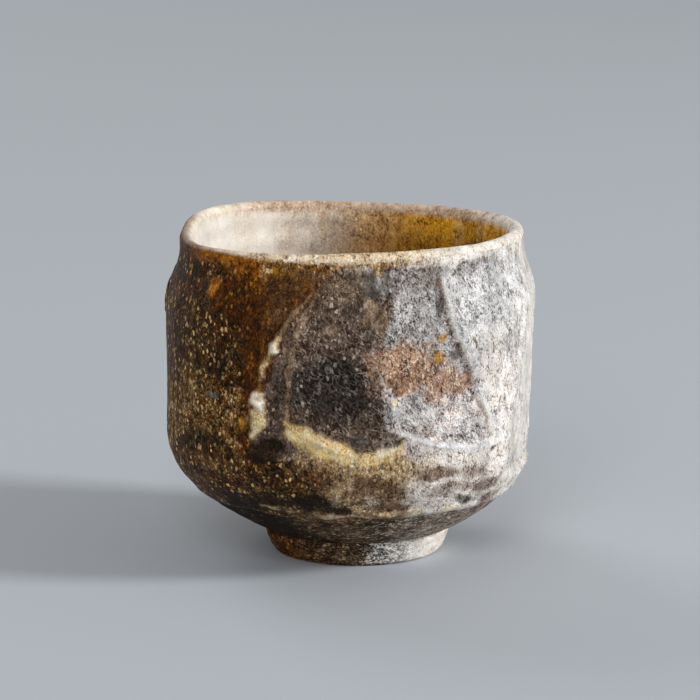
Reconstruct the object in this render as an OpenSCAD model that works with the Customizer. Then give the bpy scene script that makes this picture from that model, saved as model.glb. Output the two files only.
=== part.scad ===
// Guinomi: a small hand-made sake cup with knife-cut faces, an ash glaze and a luted foot ring.
// Lengths are in millimetres, the table is z = 0 and +Z is up.
// Bearings run round the cup in degrees: 0 is the front at -Y, 90 is +X and 180 is the back.

/* [Cup] */
// Height from the table to the highest point of the lip
cup_h = 61.4; // [50:0.2:80]
// Radius of the belly before the faces are cut
belly_r = 35.4; // [30:0.2:44]
// Radius of the mouth outside the lip
mouth_r = 32.8; // [27:0.2:38]
// Thickness of the lip
lip_t = 2.6; // [2:0.1:4]
// Thickness of the wall at the belly
wall_t = 5; // [4.4:0.1:7]
// Thickness of the floor over the foot
floor_t = 5; // [3:0.1:8]
// Height of the rounded underside, from the foot to the full belly
underside_h = 20.2; // [14:0.2:28]
// Fullness of the underside, where a higher power makes it squarer
underside_power = 2.25; // [1.6:0.05:3]
// Height of the rounded bottom inside, from the floor to the straight wall
inside_curve_h = 14.5; // [9:0.5:20]
// Squareness of the rounded bottom inside
inside_power = 2.4; // [2:0.1:4]
// Distance below the lip at which the wall starts to draw in
shoulder_drop = 13.6; // [9:0.2:20]
// Distance below the lip at which the wall reaches the mouth's radius
neck_drop = 2.6; // [2:0.1:6]

/* [Hand-made plan] */
// How far three rounded corners stand out from a circle
three_corner_push = 1.3; // [0:0.1:2]
// Bearing of the first of the three corners
three_corner_bearing = 92; // [0:1:119]
// How far four rounded corners stand out from a circle
four_corner_push = 1; // [0:0.1:1.5]
// Bearing of the first of the four corners
four_corner_bearing = 41; // [0:1:89]
// Sideways place of the belly
belly_x = -1.05; // [-2:0.05:2]
// Fall of the lip between its two high places
lip_fall = 0.4; // [0:0.1:2]
// Bearing of a high place on the lip
lip_high_bearing = 50; // [0:1:179]

/* [Knife cuts] */
// Depth of the narrow cut at the front left
front_left_cut = 1; // [0.4:0.1:2.6]
// Depth of the cut at the front
front_cut = 1.8; // [0.4:0.1:2.6]
// Depth of the cut at the front right
front_right_cut = 1.7; // [0.4:0.1:2.6]
// Depth of the cut on the right
right_cut = 1.7; // [0.4:0.1:2.6]
// Depth of the cut behind it
right_back_cut = 2; // [0.4:0.1:2.6]
// Depth of the cuts at the back
back_cut = 2; // [0.4:0.1:2.6]
// Depth of the shallow cut on the left
left_cut = 1; // [0.4:0.1:2.6]
// Height at which the front cuts end in a ledge
front_ledge_z = 26; // [20:0.5:34]
// Height at which the narrow cut at the front left ends
front_left_ledge_z = 24; // [20:0.5:34]
// Height at which the cuts on the right end
right_ledge_z = 16; // [13:0.5:30]
// Height at which the cuts at the back end
back_ledge_z = 20; // [16:0.5:30]
// Height of the sloping ledge under a cut
ledge_h = 2.6; // [1.5:0.1:6]
// Distance below the lip at which the cuts run out
cut_top_drop = 4.4; // [4:0.2:14]

/* [Foot] */
// Radius of the foot ring where it meets the bowl
ring_r = 17.5; // [14:0.1:20]
// Draw of the ring's outside towards the table
ring_draw = 1.4; // [0:0.1:2]
// Width of the ring
ring_w = 4.4; // [3:0.1:6]
// Height of the ring
ring_h = 4.4; // [3:0.1:8]
// Worn bevel along the ring's edges on the table
ring_bevel = 0.6; // [0.2:0.1:1]
// Thickness of the joining slip
slip_t = 0.4; // [0.2:0.1:1]
// Distance of the slip's edges inside the ring's edges
slip_set_in = 0.3; // [0.1:0.1:0.8]
// Ledge of the bowl's seat outside the ring
seat_ledge = 0.3; // [0:0.1:1]
// Rise of the hollow under the floor
hollow_rise = 1; // [0.2:0.1:1.6]
// Sideways place of the foot
foot_x = 1.2; // [-2:0.1:2]

/* [Glaze] */
// Thickness of the glaze
glaze_t = 0.5; // [0.3:0.05:0.8]
// Height of the bare clay between the foot and the glaze
bare_h = 7; // [3:0.2:12]

/* [Hidden] */
$fn = 96;

// Points round each ring of the hand-made surfaces
sectors = 72;
// Rings up the bare underside, the glazed outside, the lip, the inside wall and the rounded bottom inside
bare_rings = 4;
glazed_rings = 24;
lip_rings = 5;
wall_rings = 5;
bottom_rings = 5;

seat_z = ring_h + slip_t;
seat_r = ring_r + seat_ledge;
ring_hole_r = ring_r - ring_w;
spring_z = seat_z + underside_h;
glaze_line_z = seat_z + bare_h;
floor_z = seat_z + floor_t;
inside_spring_z = floor_z + inside_curve_h;
lip_z = cup_h - lip_t / 2;
shoulder_z = cup_h - shoulder_drop;
neck_z = cup_h - neck_drop;
cut_top_z = cup_h - cut_top_drop;

// Each knife cut: its bearing at the ledge, its turn by the top, its depth, its ledge's height and slope
CUTS = [
    [-16, 10, front_left_cut, front_left_ledge_z, 0],
    [-5, 2, front_cut, front_ledge_z, -0.23],
    [29, -7, front_right_cut, front_ledge_z, -0.2],
    [72, 12, right_cut, right_ledge_z, 0],
    [96, 4, right_back_cut, right_ledge_z, -0.2],
    [140, -6, back_cut, back_ledge_z, 0.15],
    [184, 8, back_cut, front_ledge_z, -0.2],
    [226, -4, back_cut, back_ledge_z, 0.15],
    [266, 4, left_cut, front_ledge_z, 0],
];

function clamp01(t) = max(0, min(1, t));
function smooth(t) = let (u = clamp01(t)) u * u * (3 - 2 * u);

// How much of the hand-made plan shows at a height: none at the foot, all at the belly
function plan_share(z) = smooth((z - seat_z) / underside_h);
function plan_push(b) =
    three_corner_push * cos(3 * (b - three_corner_bearing))
    + four_corner_push * cos(4 * (b - four_corner_bearing));

// Radius of a round cup at a height
function profile_r(z) =
    belly_r
    - (belly_r - seat_r) * pow(clamp01((spring_z - z) / underside_h), underside_power)
    - (belly_r - mouth_r) * smooth((z - shoulder_z) / (neck_z - shoulder_z));
function uncut_r(b, z) = profile_r(z) + plan_share(z) * plan_push(b);

// What a cut takes off at a bearing and height: a flat face, deepest above its ledge and run out at its top
function cut_up(cut, z) = (z - cut[3]) / (cut_top_z - cut[3]);
function cut_off_bearing(cut, b, z) = b - cut[0] - cut[1] * cut_up(cut, z);
function cut_depth(cut, d, z) =
    let (ledge_z = cut[3] + cut[4] * belly_r * sin(d))
    cut[2] * smooth((z - ledge_z) / ledge_h) * (1 - pow(clamp01(cut_up(cut, z)), 2));
function bite(cut, b, z) =
    let (d = cut_off_bearing(cut, b, z))
    max(0, cut_depth(cut, d, z) - belly_r * (1 - cos(d)));
function outer_r(b, z) = uncut_r(b, z) - max([for (cut = CUTS) bite(cut, b, z)]);

// Thickness of the wall: the lip's at the lip, the belly's below the shoulder
function wall_at(z) = lip_t + (wall_t - lip_t) * smooth((lip_z - z) / (lip_z - shoulder_z));

// Places a point of a bearing, radius and height on the leaning cup, with its falling lip
function axis_x(z) = foot_x + (belly_x - foot_x) * plan_share(z);
function lip_drop(b) = lip_fall / 2 * (1 - cos(2 * (b - lip_high_bearing)));
function place(b, r, z) = [
    axis_x(z) + r * sin(b),
    -r * cos(b),
    z - lip_drop(b) * clamp01((z - seat_z) / (cup_h - seat_z)),
];

// Rings of points. An inset of 0 is the face of the glaze, and an inset of glaze_t is the clay under it.
function ring(r_of, z) = [for (k = [0:sectors - 1]) let (b = k * 360 / sectors) place(b, r_of(b), z)];
function outside_ring(z, inset) = ring(function (b) outer_r(b, z) - inset, z);
function lip_ring(a, inset) =
    let (h = lip_t / 2)
    ring(function (b) uncut_r(b, lip_z) - h + (h - inset) * cos(a), lip_z + (h - inset) * sin(a));
function wall_ring(z, inset) = ring(function (b) uncut_r(b, z) - wall_at(z) + inset, z);
function bottom_ring(a, inset) =
    let (share = pow(cos(a), 2 / inside_power), deep = pow(sin(a), 2 / inside_power))
    ring(
        function (b) (uncut_r(b, inside_spring_z) - wall_at(inside_spring_z) + inset) * share,
        inside_spring_z - (inside_curve_h + inset) * deep
    );

// Stacks of rings, each in the order in which the solid's skin runs
bare_stack = [for (k = [0:bare_rings]) outside_ring(seat_z + bare_h * k / bare_rings, 0)];
function glazed_stack(inset) = [
    for (k = [0:glazed_rings])
        outside_ring(glaze_line_z + (lip_z - glaze_line_z) * k / glazed_rings, inset)
];
function lip_stack(inset, first) = [for (k = [first:lip_rings]) lip_ring(180 * k / lip_rings, inset)];
function wall_stack(inset) = [
    for (k = [1:wall_rings])
        wall_ring(lip_z + (inside_spring_z - lip_z) * k / wall_rings, inset)
];
function bottom_stack(inset) = [for (k = [1:bottom_rings - 1]) bottom_ring(90 * k / bottom_rings, inset)];
function inside_stack(inset, first) = concat(lip_stack(inset, first), wall_stack(inset), bottom_stack(inset));
function floor_point(inset) = [axis_x(floor_z), 0, floor_z - inset];
function backwards(list) = [for (k = [len(list) - 1:-1:0]) list[k]];
function joined(lists) = [for (list = lists) each list];

// Two triangles between each pair of neighbouring points on two rings
function band(low, high) = [
    for (k = [0:sectors - 1])
        let (n = (k + 1) % sectors)
            each [[low + k, high + k, low + n], [low + n, high + k, high + n]]
];

// A solid whose skin runs from one point through rings to another point
module capped_skin(start, rings, end) {
    last = 1 + (len(rings) - 1) * sectors;
    tip = last + sectors;
    polyhedron(
        points = concat([start], joined(rings), [end]),
        faces = concat(
            [for (k = [0:sectors - 1]) [0, 1 + k, 1 + (k + 1) % sectors]],
            joined([for (k = [0:len(rings) - 2]) band(1 + k * sectors, 1 + (k + 1) * sectors)]),
            [for (k = [0:sectors - 1]) [last + k, tip, last + (k + 1) % sectors]]
        )
    );
}

// A solid whose skin runs through rings and back to the first one
module looped_skin(rings) {
    polyhedron(
        points = joined(rings),
        faces = joined([for (k = [0:len(rings) - 1]) band(k * sectors, (k + 1) % len(rings) * sectors)])
    );
}

// The clay: hollow under the floor, flat seat, bare underside, clay under the glaze, lip and inside
module bowl() {
    hollow = ring(function (b) ring_hole_r, seat_z);
    color("#7a6552")
        capped_skin(
            [foot_x, 0, seat_z + hollow_rise],
            concat([hollow], bare_stack, glazed_stack(glaze_t), inside_stack(glaze_t, 1)),
            floor_point(glaze_t)
        );
}

// The ring that the cup stands on
module foot_ring() {
    foot_r = ring_r - ring_draw;
    color("#8a5a3c")
        translate([foot_x, 0, 0])
            rotate_extrude()
                polygon([
                    [ring_hole_r + ring_bevel, 0],
                    [foot_r - ring_bevel, 0],
                    [foot_r, ring_bevel],
                    [ring_r, ring_h],
                    [ring_hole_r, ring_h],
                    [ring_hole_r, ring_bevel],
                ]);
}

// The slip between the ring and the bowl's seat
module luting_slip() {
    color("#b08a6a")
        translate([foot_x, 0, ring_h])
            rotate_extrude()
                translate([ring_hole_r + slip_set_in, 0])
                    square([ring_w - 2 * slip_set_in, slip_t]);
}

// The glass lining: up the clay inside and over the lip, then back along its own face
module inside_glaze() {
    color("#d8cdb8")
        capped_skin(
            floor_point(glaze_t),
            concat(backwards(inside_stack(glaze_t, 0)), inside_stack(0, 0)),
            floor_point(0)
        );
}

// The ash glaze: up its own face to the lip, then back down the clay
module ash_glaze() {
    color("#5c4a38")
        looped_skin(concat(glazed_stack(0), backwards(glazed_stack(glaze_t))));
}

bowl();
foot_ring();
luting_slip();
inside_glaze();
ash_glaze();
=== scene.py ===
"""Guinomi sake cup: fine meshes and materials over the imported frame.

The form is written in millimetres and goes into the meshes in metres.
Bearings run round the cup: 0 is the front at -Y, 90 is +X and 180 is the back.
"""
import itertools
from collections import namedtuple

import bpy
import numpy as np
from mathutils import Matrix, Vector


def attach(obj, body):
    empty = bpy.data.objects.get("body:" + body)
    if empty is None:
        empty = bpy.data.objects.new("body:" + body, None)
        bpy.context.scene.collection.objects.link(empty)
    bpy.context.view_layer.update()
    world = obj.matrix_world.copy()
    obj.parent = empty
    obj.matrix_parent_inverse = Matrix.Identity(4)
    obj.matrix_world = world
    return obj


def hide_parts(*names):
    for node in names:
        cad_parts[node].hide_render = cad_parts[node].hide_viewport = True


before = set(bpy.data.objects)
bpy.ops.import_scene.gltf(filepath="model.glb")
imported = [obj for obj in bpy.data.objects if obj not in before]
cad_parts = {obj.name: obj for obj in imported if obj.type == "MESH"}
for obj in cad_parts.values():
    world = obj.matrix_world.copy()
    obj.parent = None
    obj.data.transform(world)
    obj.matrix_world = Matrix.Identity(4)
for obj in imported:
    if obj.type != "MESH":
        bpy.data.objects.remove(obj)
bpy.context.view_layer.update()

MM = 0.001

# Sizes of the form, as in the part's source
CUP_H = 61.4
BELLY_R = 35.4
MOUTH_R = 32.8
LIP_T = 2.6
WALL_T = 5.0
FLOOR_T = 5.0
UNDERSIDE_H = 20.2
UNDERSIDE_POWER = 2.25
INSIDE_CURVE_H = 14.5
INSIDE_POWER = 2.4
SHOULDER_DROP = 13.6
NECK_DROP = 2.6
THREE_CORNER_PUSH = 1.3
THREE_CORNER_BEARING = 92
FOUR_CORNER_PUSH = 1.0
FOUR_CORNER_BEARING = 41
BELLY_X = -1.05
LIP_FALL = 0.4
LIP_HIGH_BEARING = 50
LEDGE_H = 2.6
CUT_TOP_DROP = 4.4
RING_R = 17.5
RING_DRAW = 1.4
RING_W = 4.4
RING_H = 4.4
SLIP_T = 0.4
SEAT_LEDGE = 0.3
HOLLOW_RISE = 1.0
FOOT_X = 1.2
BARE_H = 7.0

SEAT_Z = RING_H + SLIP_T
SEAT_R = RING_R + SEAT_LEDGE
HOLE_R = RING_R - RING_W
SPRING_Z = SEAT_Z + UNDERSIDE_H
GLAZE_LINE_Z = SEAT_Z + BARE_H
FLOOR_Z = SEAT_Z + FLOOR_T
INSIDE_SPRING_Z = FLOOR_Z + INSIDE_CURVE_H
LIP_Z = CUP_H - LIP_T / 2
SHOULDER_Z = CUP_H - SHOULDER_DROP
NECK_Z = CUP_H - NECK_DROP
CUT_TOP_Z = CUP_H - CUT_TOP_DROP

# Fine forms of the hand-made surfaces, in millimetres
CUT_EDGE_ROUND = 0.12
GLAZE_EDGE_RISE = 0.7
GLAZE_EDGE_WAVE = 0.9
GLAZE_EDGE_R = 30
GLAZE_ROLL = 0.3
LIP_WAVE = 0.14
LIP_RIPPLE = 0.05
LIP_FADE_OUT = 2
LIP_FADE_IN = 3
FINGER_RING_DEPTH = 0.12
FINGER_RING_GAP = 5.5
INSIDE_SWELL = 0.14
SPIRAL_DEPTH = 0.12
SPIRAL_GAP = 1.7
CLAY_INSET = 0.12
CLAY_UNDER_GLAZE = 3
FOOT_WOBBLE = 0.22
SLIP_WOBBLE = 0.1
RING_STEP = 0.25

# Share of the hollow's radius where its innermost ring lies
HOLLOW_START = 0.03

# Each knife cut: bearing at its ledge, turn by its top, depth, ledge's height and ledge's slope
CUTS = [
    (-16, 10, 1.0, 24, 0),
    (-5, 2, 1.8, 26, -0.23),
    (29, -7, 1.7, 26, -0.2),
    (72, 12, 1.7, 16, 0),
    (96, 4, 2.0, 16, -0.2),
    (140, -6, 2.0, 20, 0.15),
    (184, 8, 2.0, 26, -0.2),
    (226, -4, 2.0, 20, 0.15),
    (266, 4, 1.0, 26, 0),
]

# Points round each ring, and rings up each surface
SECTORS = 600
OUTSIDE_RINGS = 150
LIP_RINGS = 14
WALL_RINGS = 60
BOTTOM_RINGS = 36
HOLLOW_RINGS = 24
UNDERSIDE_RINGS = 70
BEHIND_RINGS = 24

# The unseen backs of the glazes: every how many rings they take, and how far behind the glaze they lie
HIDDEN_STEP_OUT = 12
HIDDEN_STEP_IN = 6
HIDDEN_INSET = 0.9

# Gaps of the hidden clay: from the back of the ash glaze, and up from the bare clay
HIDDEN_GAP = 0.1
HIDDEN_GAP_UP = 0.2

# Threads of crinkled glaze: width of a loop in millimetres, slope in degrees and stretch along it
THREAD_MM = 0.75
THREAD_SLOPE = -45
THREAD_STRETCH = 1.7

# How far edges of coats wander from their true lines, in millimetres or in degrees
STROKE_WANDER = 0.6
FACE_WANDER = 0.8
PATCH_WANDER = 1.1
INSIDE_WANDER = 1.6
BORDER_SWING = 14

# Share of the height that streaks inside the cup are read at, which draws them out downwards
STREAK_SQUEEZE = 0.25

# Heights where coats change, in millimetres: the belly's top, the lip's edge, the painted shade below the
# lip inside, and the pool in the inside's depth
BELLY_TOP_Z = 23.5
BELLY_BLEND_H = 4
LIP_COAT_DROP = 1.4
LIP_EDGE_DROP = 0.6
LEFT_LIP_RISE = 1.9
INSIDE_SHADE_H = 6
POOL_TOP_Z = INSIDE_SPRING_Z + 16
POOL_BLEND_H = 18

BEARINGS = np.radians(np.arange(SECTORS) * 360 / SECTORS - 180)


def clamp01(t):
    """A value kept between 0 and 1."""
    return np.clip(t, 0, 1)


def smooth(t):
    """An eased step from 0 to 1."""
    u = clamp01(t)
    return u * u * (3 - 2 * u)


def off_bearing(b, degrees):
    """Angle from a bearing in degrees, between -pi and pi."""
    return (b - np.radians(degrees) + np.pi) % (2 * np.pi) - np.pi


# Noise, with large numbers that scramble a cell's place

SCRAMBLE_X = 374761393
SCRAMBLE_Y = 668265263
SCRAMBLE_Z = 2147483647
SCRAMBLE_SEED = 1442695041
SCRAMBLE_AGAIN = 1274126177


def lattice(cells, seed):
    """A repeatable value from -1 to 1 for each whole-number cell."""
    x, y, z = np.moveaxis(cells, -1, 0)
    h = x * SCRAMBLE_X + y * SCRAMBLE_Y + z * SCRAMBLE_Z + seed * SCRAMBLE_SEED
    h = (h ^ (h >> 13)) * SCRAMBLE_AGAIN
    h = h ^ (h >> 16)
    return (h & 0xFFFFFF) / 0x7FFFFF - 1


def noise(points, cell, seed):
    """Smooth noise from -1 to 1 at points in millimetres."""
    at = points / cell + 1000
    low = np.floor(at).astype(np.int64)
    part = smooth(at - low)
    total = 0
    for corner in itertools.product((0, 1), repeat=3):
        weight = np.prod(np.where(corner, part, 1 - part), axis=-1)
        total = total + weight * lattice(low + np.array(corner), seed)
    return total


def cloud(points, cell, seed, octaves=3):
    """Noise of several sizes, each half as large as the one before."""
    total = 0
    for k in range(octaves):
        total = total + noise(points, cell / 2**k, seed + k) / 2**k
    return total / (2 - 0.5 ** (octaves - 1))


def slant(points):
    """Points squeezed along a slope, so that noise on them runs down to the right across the front."""
    x, y, z = np.moveaxis(points, -1, 0)
    slope = np.radians(-THREAD_SLOPE)
    across = x * np.cos(slope) + z * np.sin(slope)
    along = z * np.cos(slope) - x * np.sin(slope)
    return np.stack([across, y, along / THREAD_STRETCH], -1)


# The form

def plan_share(z):
    """How much of the plan's corners and of the lean shows at a height."""
    return smooth((z - SEAT_Z) / UNDERSIDE_H)


def plan_push(b):
    """How far the plan's corners stand out."""
    three = THREE_CORNER_PUSH * np.cos(3 * off_bearing(b, THREE_CORNER_BEARING))
    four = FOUR_CORNER_PUSH * np.cos(4 * off_bearing(b, FOUR_CORNER_BEARING))
    return three + four


def uncut_r(b, z):
    """Radius of the wall before the knife cuts."""
    under = clamp01((SPRING_Z - z) / UNDERSIDE_H) ** UNDERSIDE_POWER
    neck = smooth((z - SHOULDER_Z) / (NECK_Z - SHOULDER_Z))
    round_r = BELLY_R - (BELLY_R - SEAT_R) * under - (BELLY_R - MOUTH_R) * neck
    return round_r + plan_share(z) * plan_push(b)


def cut_fields(b, z):
    """How far each knife cut goes in at a place: above 0 inside its face and below 0 outside."""
    fields = []
    for bearing, turn, depth, ledge, slope in CUTS:
        up = (z - ledge) / (CUT_TOP_Z - ledge)
        d = off_bearing(b, bearing + turn * up)
        run = depth * smooth((z - ledge - slope * BELLY_R * np.sin(d)) / LEDGE_H) * (1 - clamp01(up) ** 2)
        fields.append(run - BELLY_R * (1 - np.cos(d)))
    return np.array(fields)


def soft_positive(x, width):
    """x where it is above 0, and 0 where it is below, rounded over a width."""
    return np.where(x > width, x, clamp01((x + width) / (2 * width)) ** 2 * width)


def outer_r(b, z):
    """Radius of the wall with the knife cuts."""
    return uncut_r(b, z) - soft_positive(cut_fields(b, z).max(axis=0), CUT_EDGE_ROUND)


def wall_at(z):
    """Thickness of the wall."""
    return LIP_T + (WALL_T - LIP_T) * smooth((LIP_Z - z) / (LIP_Z - SHOULDER_Z))


def place(b, r, z):
    """Points in millimetres on the leaning cup, with its falling lip."""
    axis_x = FOOT_X + (BELLY_X - FOOT_X) * plan_share(z)
    drop = LIP_FALL / 2 * (1 - np.cos(2 * off_bearing(b, LIP_HIGH_BEARING)))
    height = z - drop * clamp01((z - SEAT_Z) / (CUP_H - SEAT_Z))
    return np.stack(np.broadcast_arrays(axis_x + r * np.sin(b), -r * np.cos(b), height), -1)


def spot_gap(b, z, bearing, height, across, up, tilt=0):
    """Distance from a place on the wall: 1 is the edge of an oval of these half sizes in millimetres."""
    u = BELLY_R * off_bearing(b, bearing)
    v = z - height
    c = np.cos(np.radians(tilt))
    s = np.sin(np.radians(tilt))
    return np.hypot((u * c + v * s) / across, (v * c - u * s) / up)


def stroke_gap(b, z, places):
    """Distance in millimetres from a line through places on the wall."""
    middle = places[len(places) // 2][0]
    here = np.stack([BELLY_R * off_bearing(b, middle), z], -1)
    line = [np.array([BELLY_R * np.radians(bearing - middle), height]) for bearing, height in places]
    gap = np.full(np.shape(b), np.inf)
    for start, end in zip(line, line[1:]):
        way = end - start
        along = clamp01((here - start) @ way / (way @ way))
        gap = np.minimum(gap, np.linalg.norm(here - start - along[..., None] * way, axis=-1))
    return gap


# Glazes and clays, each a coat of three colours

def linear(code):
    """A written colour as linear light."""
    c = np.array([int(code[k:k + 2], 16) for k in (1, 3, 5)]) / 255
    return np.where(c <= 0.04045, c / 12.92, ((c + 0.055) / 1.055) ** 2.4)


def coat(dark, middle, light, cover, crinkle, gloss):
    """Colours of ground, grain and bright grain, then how far grain covers it, its crinkle and its gloss."""
    return np.concatenate([linear(dark), linear(middle), linear(light), [cover, crinkle, gloss]])


# Numbers in a coat, and where its cover and its crinkle are among them
COAT_SIZE = 12
COVER_AT = 9
CRINKLE_AT = 10

COATS = {
    "brown": coat("#060200", "#522800", "#ffd990", 0.41, 0.20, 0.35),
    "sandy": coat("#060200", "#6c3e02", "#ffe0a0", 0.50, 0.30, 0.25),
    "umber": coat("#180a00", "#5c2c00", "#a8681c", 0.42, 0.15, 0.45),
    "taupe": coat("#321b0a", "#643e1a", "#a8783e", 0.45, 0.40, 0.45),
    "bark": coat("#2c1e16", "#685548", "#cbb6a4", 0.45, 1.00, 0.85),
    # Charcoal's pale grains are painted glints of the light on its glossy crinkle
    "charcoal": coat("#0e0a08", "#40362f", "#b8aca2", 0.33, 0.80, 0.95),
    "plum": coat("#2c201b", "#6e5d54", "#bba698", 0.45, 0.50, 0.60),
    # Near-black painted shade in creases, a groove, a crack and beside ridges
    "crease_shade": coat("#14100e", "#2a211d", "#4a3d36", 0.40, 0.10, 0.50),
    "slate": coat("#38322f", "#5f5853", "#8b837d", 0.45, 0.35, 0.50),
    "tan": coat("#66503c", "#a88c70", "#d4bea2", 0.50, 0.20, 0.40),
    # Silver: a crinkled grey-brown glaze with the light's blue-white sheen painted into its colour
    "silver_sheen": coat("#463a36", "#d2ccca", "#ffffff", 0.50, 1.00, 0.90),
    "frost": coat("#5e4235", "#f8eae2", "#ffffff", 0.55, 0.90, 0.75),
    "rust": coat("#422618", "#b4886a", "#fae4cc", 0.50, 0.80, 0.50),
    # Mist: a painted grey-white sheen of the light on the upper faces
    "sheen_mist": coat("#5a5859", "#e2e0e0", "#ffffff", 0.51, 0.60, 0.80),
    "pale": coat("#66584f", "#f2ece6", "#ffffff", 0.53, 0.40, 0.50),
    "beige": coat("#543e2e", "#f8ece0", "#ffffff", 0.55, 0.40, 0.40),
    "white": coat("#c9c1b4", "#e8e3da", "#f6f3ed", 0.50, 0.15, 0.45),
    "ash_white": coat("#cfd0d4", "#eceef2", "#ffffff", 0.55, 0.05, 0.60),
    "cream": coat("#a87c40", "#e6cf9c", "#fff3d6", 0.55, 0.15, 0.45),
    "drop": coat("#c8a468", "#fff0d0", "#fffcf0", 0.62, 0.05, 0.70),
    "yellow": coat("#c08a44", "#fcd88c", "#fff4cc", 0.62, 0.10, 0.40),
    "ridge": coat("#4a260a", "#a8702c", "#f0d8a4", 0.45, 0.30, 0.50),
    "belly": coat("#3a2012", "#b8966a", "#fff0cc", 0.52, 0.35, 0.30),
    "belly_brown": coat("#382013", "#6e503a", "#a4866a", 0.45, 0.35, 0.35),
    "belly_dark": coat("#120a05", "#2c1c10", "#7a6048", 0.32, 0.30, 0.30),
    "amber": coat("#482000", "#a25e0a", "#d8962c", 0.50, 0.10, 0.60),
    "honey": coat("#8a5608", "#c8922c", "#ecc670", 0.50, 0.10, 0.55),
    "blue": coat("#3f4644", "#7f8d8d", "#bccaca", 0.45, 0.20, 0.40),
    "lip_mottle": coat("#3e1c02", "#a06c2c", "#f4dcac", 0.46, 0.10, 0.45),
    "lip_cream": coat("#d6b988", "#f4ecdd", "#fffaf2", 0.55, 0.05, 0.45),
    "lip_front": coat("#402004", "#e4caa4", "#fffaee", 0.53, 0.05, 0.45),
    "lip_white": coat("#a0866c", "#ebe3d8", "#ffffff", 0.54, 0.10, 0.45),
    "lip_pink": coat("#a07a60", "#d3b89f", "#efe0d0", 0.50, 0.05, 0.40),
    "inside_white": coat("#efe8dc", "#f6f1e8", "#fbf8f2", 0.50, 0.00, 0.40),
    "inside_taupe": coat("#745228", "#d2aa76", "#f0d4a2", 0.50, 0.00, 0.40),
    "inside_mustard": coat("#704200", "#e0a216", "#f0c450", 0.50, 0.00, 0.45),
    "inside_brown": coat("#3c2004", "#84560e", "#a87c30", 0.50, 0.00, 0.40),
    "inside_grey": coat("#b4a698", "#dcd2c8", "#efe8de", 0.50, 0.00, 0.40),
    "inside_pool": coat("#6a5236", "#9c8058", "#c6ae86", 0.50, 0.00, 0.80),
    "clay_brown": coat("#160b04", "#664a33", "#dcc09c", 0.44, 0.30, 0.15),
    "clay_black": coat("#040201", "#342b25", "#fffcf4", 0.64, 0.30, 0.20),
    "clay_dark": coat("#0a0502", "#4a3826", "#ead8be", 0.52, 0.30, 0.15),
    "clay_grey": coat("#382a1e", "#988676", "#f0e6da", 0.50, 0.30, 0.15),
    "clay_orange": coat("#140600", "#6e3a0e", "#dc9c58", 0.46, 0.30, 0.15),
    "clay_pink": coat("#d8bca8", "#fcf2e8", "#fffdf8", 0.55, 0.25, 0.15),
}

# Coats round the outside above and below the ledges: bearing and coat, each blending into the next
UPPER_ROUND = [
    (-150, "brown"), (-40, "brown"), (-24, "umber"), (-14, "taupe"), (2, "bark"), (22, "bark"),
    (36, "pale"), (62, "pale"), (82, "white"), (104, "pale"), (128, "rust"), (160, "bark"),
    (196, "bark"),
]
LOWER_ROUND = [
    (-120, "sandy"), (-70, "sandy"), (-50, "brown"), (-22, "brown"), (4, "belly"),
    (10, "belly"), (30, "beige"), (96, "beige"), (130, "belly"), (190, "belly"),
]

# The coat on each cut's face, in the cuts' order, and how strongly it shows
FACE_COATS = [
    # The third cut's silver face carries a painted sheen
    ("plum", 0.9), ("bark", 0.9), ("silver_sheen", 0.85), ("pale", 0.6), ("white", 0.5),
    ("rust", 0.75), ("charcoal", 0.8), ("umber", 0.8), ("sandy", 0.5),
]

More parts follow.
